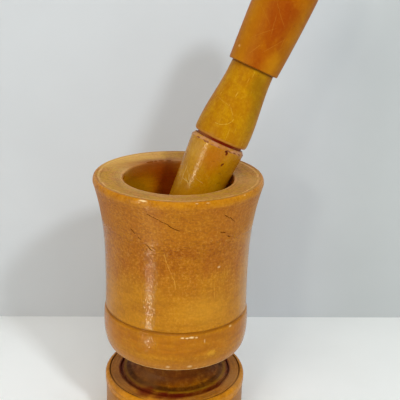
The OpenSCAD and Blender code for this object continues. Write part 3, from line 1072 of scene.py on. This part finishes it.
# pestle grip
grip = dict(
    bottom=124.7, radius=15.2, topRadius=17.6, length=72.0, dome=14.0, edge=0.8,
    bore=8.1, hole=32.0,
    skin=(0.08, 20.0),
    look=dict(
        handled,
        pith=(-16, 16, 0), ring=5.6, patch=13.0, cloudShow=0.45,
        deep=(154, 68, 0), mid=(173, 95, 0), pale=(186, 118, 6), warm=(148, 60, 0),
        poreTone=(108, 44, 2),
        rubTurn=(0, 60, 50), rubs=0.65, rubShow=0.35, rubTone=(214, 152, 50),
    ),
    spots=[
        # yellower down both sides and low in front, red-brown between
        spot(16, (-166, 140), (9, 10, 46), 0.45, (196, 132, 2), soft=0.9, ragged=0.9),
        spot(16, (-52, 136), (8, 10, 40), 0.4, (184, 128, 4), soft=0.9, ragged=0.9),
        spot(15.6, (-84, 130), (5, 6, 6), 0.6, (196, 130, 4), soft=0.8),
        spot(16.2, (-112, 152), (9, 9, 14), 0.5, (150, 58, 0), soft=0.8, ragged=1.2),
        spot(15.6, (-112, 131), (6, 6, 5), 0.45, (156, 64, 0), soft=0.8, ragged=1.2),
        # a small pale dot, a painted glint
        spot(15.5, (-167, 132.6), (0.7, 0.9, 0.7), 0.45, (230, 184, 104), soft=0.6),
    ],
    scratchTone=(212, 146, 40),
    scratches=[
        scratch([(-156, 158), (-118, 149)], 16.4, 0.4, 0.22),
        scratch([(-146, 139), (-104, 150)], 16.2, 0.4, 0.22),
        scratch([(-128, 163), (-92, 151)], 16.6, 0.4, 0.25),
        scratch([(-112, 134), (-80, 146)], 16, 0.4, 0.25),
        scratch([(-136, 131), (-120, 138)], 15.8, 0.45, 0.22, tone=(220, 156, 50)),
        scratch([(-118, 157), (-110, 144)], 16.3, 0.4, 0.22),
    ],
)


def gripOutline():
    sideAt = grip["bottom"] + grip["edge"]
    domeAt = grip["bottom"] + grip["length"] - grip["dome"]
    holeTop = grip["bottom"] + grip["hole"]
    # the dowel's hole is left open below, as bored
    points = straight((0, holeTop), (grip["bore"], holeTop), 3, first=0)
    points += straight(points[-1], (grip["bore"], grip["bottom"]), 8)
    points += straight(points[-1], (grip["radius"] - grip["edge"], grip["bottom"]), 4)[:-1]
    points += ellipseArc((grip["radius"] - grip["edge"], sideAt), (grip["edge"],) * 2, -90, 0, 8, first=0)
    for t, z in straight((0, sideAt), (1, domeAt), 48):
        points.append((grip["radius"] + (grip["topRadius"] - grip["radius"]) * math.sin(math.pi / 2 * t), z))
    dome = ellipseArc((0, domeAt), (grip["topRadius"], grip["dome"]), 0, 90, 24)
    return points + dome[:-1] + [(0, dome[-1][1])]


def makeGrip():
    piece = startPiece("handGrip", gripOutline(), pestle["turns"], grip, "gripVarnish")
    leanPiece(piece)
    smoothPiece(piece)
    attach(piece, "pestle")
    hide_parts("pestle_grip")
    print("grip turned:", len(piece.data.polygons), "faces")


makeGrip()


# the dowel keeps its own solid and gets bare wood
dowelBare = rawWood(
    "dowelBare", (170, 128, 82), (196, 158, 108), (212, 178, 130), fibre=0.5, patch=9.0, relief=0.03)
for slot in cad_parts["pestle_dowel"].material_slots:
    slot.material = dowelBare
print("dowel finished")


# table, wall and light
room = dict(
    reach=6.0, tableDrop=0.2, wallRaise=2.9,  # metres, apart from the drop
    wallBehind=121.4, wallTurn=3.17,  # from the mortar's axis, and off square to the camera
    wall=[(213, 215, 215), (198, 201, 199)], table=[(250, 250, 246), (247, 247, 242)],
    # the darker second tone on the right is painted shade, the pestle's shadow on the wall
    paintedShadeFrom=0.075, paintedShadeTo=0.15,  # metres to the right, where the second tone of both takes over
    shine=0.15, cloud=9.0, cloudFrom=0.3, cloudTo=0.7, cloudTone=(250, 250, 250),
    rough=(0.55, 0.7),
    sky=(232, 238, 246), skyStrength=0.47,
    aim=(0, 0, 110),
    # soft lamps light the matt paint, the others make the bright places in the varnish
    lamps=[
        dict(name="softLeft", turn=-28, rise=32, away=1100, size=(300, 300), watts=1.7,
             tone=(255, 250, 241), gloss=False, fill=True),
        dict(name="softFront", turn=-19, rise=22, away=1100, size=(90, 90), watts=1.2,
             tone=(255, 250, 243), gloss=False, fill=True),
        dict(name="softRight", turn=33, rise=41.5, away=1100, size=(110, 110), watts=4.5,
             tone=(238, 247, 255), gloss=False, fill=True),
        dict(name="softAbove", turn=-10, rise=68, away=1200, size=(700, 700), watts=2.5,
             tone=(255, 253, 250), gloss=True, fill=True),
        dict(name="windowStrip", turn=-47, rise=5, away=800, size=(38, 230), watts=4.2,
             tone=(255, 236, 200), gloss=True, fill=False),
    ],
    # a strip of light on the table, in front to the left and out of the picture
    strip=dict(name="tableStrip", place=(-125, -167, 3), turn=48.0, size=(100, 6), watts=0.17,
               tone=(255, 250, 220), gloss=True, fill=False),
)


def plainSurface(name, tones, oneSided):
    # paint that goes slowly from one tone to the other, left to right; the darker right-hand tone is painted
    # shade
    material, shader, place = newMaterial(name, room["shine"])
    across = fade(split(place)[0], room["paintedShadeFrom"], room["paintedShadeTo"])
    colour = blendColour(across, paint(*tones[0]), paint(*tones[1]))
    cloud = fade(noiseOf(place, room["cloud"], detail=4), room["cloudFrom"], room["cloudTo"])
    darker = blendColour(1.0, colour, paint(*room["cloudTone"]), "MULTIPLY")
    finishSurface(shader, blendColour(cloud, darker, colour), fade(cloud, 0, 1, *room["rough"]))
    if oneSided:
        # seen from behind, the wall is not there
        tree = material.node_tree
        clear = put("ShaderNodeBsdfTransparent", {}, tree)[0]
        behind = put("ShaderNodeNewGeometry", {}, tree)["Backfacing"]
        both = put("ShaderNodeMixShader", {0: behind, 1: tree.nodes["Principled BSDF"].outputs[0], 2: clear})
        tree.links.new(both[0], tree.nodes["Material Output"].inputs["Surface"])
    return material


def addPlane(name, finish):
    clearSelection()
    bpy.ops.mesh.primitive_plane_add(size=room["reach"], location=(0, 0, -room["tableDrop"] * mm))
    plane = bpy.context.object
    plane.name = name
    plane.data.materials.append(finish)
    return plane


def addLamp(lamp):
    clearSelection()
    bpy.ops.object.light_add(type="AREA")
    light = bpy.context.object
    light.name = lamp["name"]
    light.data.shape = "RECTANGLE"
    light.data.size, light.data.size_y = (value * mm for value in lamp["size"])
    light.data.energy = lamp["watts"]
    light.data.color = paint(*lamp["tone"])[:3]
    light.visible_camera = False
    light.visible_glossy = lamp["gloss"]
    light.visible_diffuse = lamp["fill"]
    return light


def makeRoom():
    turn = turned(view["turn"], "Z")
    table = addPlane("tableTop", plainSurface("tableWhite", room["table"], False))
    wall = addPlane("backWall", plainSurface("wallGrey", room["wall"], True))
    behind = Matrix.Translation((0, room["wallBehind"] * mm, room["wallRaise"]))
    wall.matrix_world = turn @ behind @ turned(room["wallTurn"], "Z") @ turned(90, "X")

    world = bpy.data.worlds.new("roomLight")
    scene.world = world
    world.use_nodes = True
    background = world.node_tree.nodes["Background"].inputs
    background["Color"].default_value = paint(*room["sky"])
    background["Strength"].default_value = room["skyStrength"]

    for lamp in room["lamps"]:
        light = addLamp(lamp)
        side, rise = math.radians(lamp["turn"]), math.radians(lamp["rise"])
        way = turn @ Vector((
            math.sin(side) * math.cos(rise), -math.cos(side) * math.cos(rise), math.sin(rise)))
        light.location = Vector(room["aim"]) * mm + way * lamp["away"] * mm
        light.rotation_euler = way.to_track_quat("Z", "Y").to_euler()
    strip = room["strip"]
    place = Matrix.Translation(Vector(strip["place"]) * mm)
    addLamp(strip).matrix_world = turn @ place @ turned(strip["turn"], "Z") @ turned(180, "X")


makeRoom()
print("room lit")
